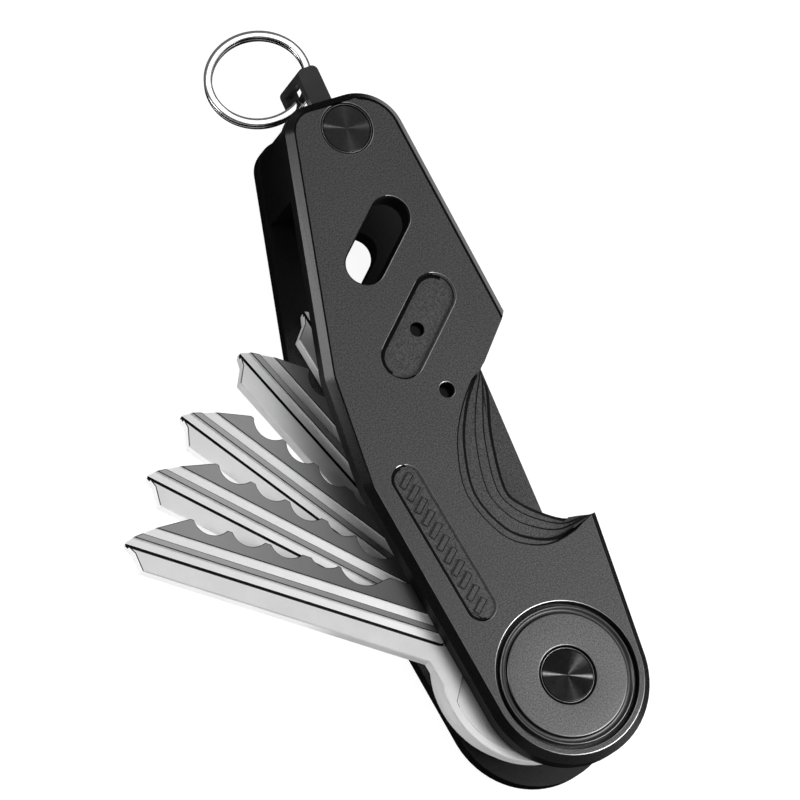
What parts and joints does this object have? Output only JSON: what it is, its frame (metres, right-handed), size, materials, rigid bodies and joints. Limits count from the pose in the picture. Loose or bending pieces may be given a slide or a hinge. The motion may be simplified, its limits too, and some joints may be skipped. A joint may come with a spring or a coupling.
{
  "type": "folding key organiser",
  "caption": "Folding key organiser: two bent black plates on screw posts, with keys that fan out from one end, a swinging bail and a split ring.",
  "frame": {"origin": "on the key pivot's axis, at the outer face of the back plate, where the pivot screw's hex socket opens", "axes": "+Y along the handle from the key pivot to the top screw, +Z out of the front plate, +X to the finger scoop"},
  "size_m": [0.0578, 0.1041, 0.017],
  "materials": {
    "plate_black": "bead-blasted, black anodised",
    "bezel_grey": "bead-blasted face with turned steps",
    "cap_spun": "spun face, black anodised",
    "steel_black": "blackened",
    "spacer_black": "black anodised",
    "bail_black": "satin black",
    "steel": "plain",
    "nylon": "natural",
    "key_nickel": "nickel plated, satin milled grooves",
    "ring_nickel": "bright nickel"
  },
  "bodies": {
    "handle": {"front_plate": "plate_black", "back_plate": "plate_black", "pivot_bezel": "bezel_grey", "pivot_post": "steel_black", "pivot_cap": "cap_spun", "top_post": "steel_black", "top_cap": "cap_spun", "top_spacer": "spacer_black", "stop_pins": "steel", "back_screws": "steel_black", "screw_washers": "steel", "wave_washer": "steel", "friction_washers": "nylon", "key_washers": "steel", "bail_washers": "steel"},
    "key_1": {"key_1": "key_nickel"},
    "key_2": {"key_2": "key_nickel"},
    "key_3": {"key_3": "key_nickel"},
    "key_4": {"key_4": "key_nickel"},
    "key_5": {"key_5": "key_nickel"},
    "bail": {"bail": "bail_black"},
    "split_ring": {"split_ring": "ring_nickel"}
  },
  "joints": [
    {"name": "key_1_swing", "type": "hinge", "parent": "handle", "child": "key_1", "pos_m": [0, 0, 0.0085], "axis": [0, 0, 1], "range_deg": [0, 344]},
    {"name": "key_2_swing", "type": "hinge", "parent": "handle", "child": "key_2", "pos_m": [0, 0, 0.0085], "axis": [0, 0, 1], "range_deg": [-11.5, 332.5]},
    {"name": "key_3_swing", "type": "hinge", "parent": "handle", "child": "key_3", "pos_m": [0, 0, 0.0085], "axis": [0, 0, 1], "range_deg": [-24, 320]},
    {"name": "key_4_swing", "type": "hinge", "parent": "handle", "child": "key_4", "pos_m": [0, 0, 0.0085], "axis": [0, 0, 1], "range_deg": [-34, 310]},
    {"name": "key_5_swing", "type": "hinge", "parent": "handle", "child": "key_5", "pos_m": [0, 0, 0.0085], "axis": [0, 0, 1], "range_deg": [-44, 300]},
    {"name": "bail_swing", "type": "hinge", "parent": "handle", "child": "bail", "pos_m": [0, 0.074, 0.0085], "axis": [0, 0, 1], "range_deg": [-90, 3]},
    {"name": "ring_swing", "type": "hinge", "parent": "bail", "child": "split_ring", "pos_m": [-0.00102, 0.08351, 0.0085], "axis": [0, 0, 1], "range_deg": [-105, 0]}
  ]
}
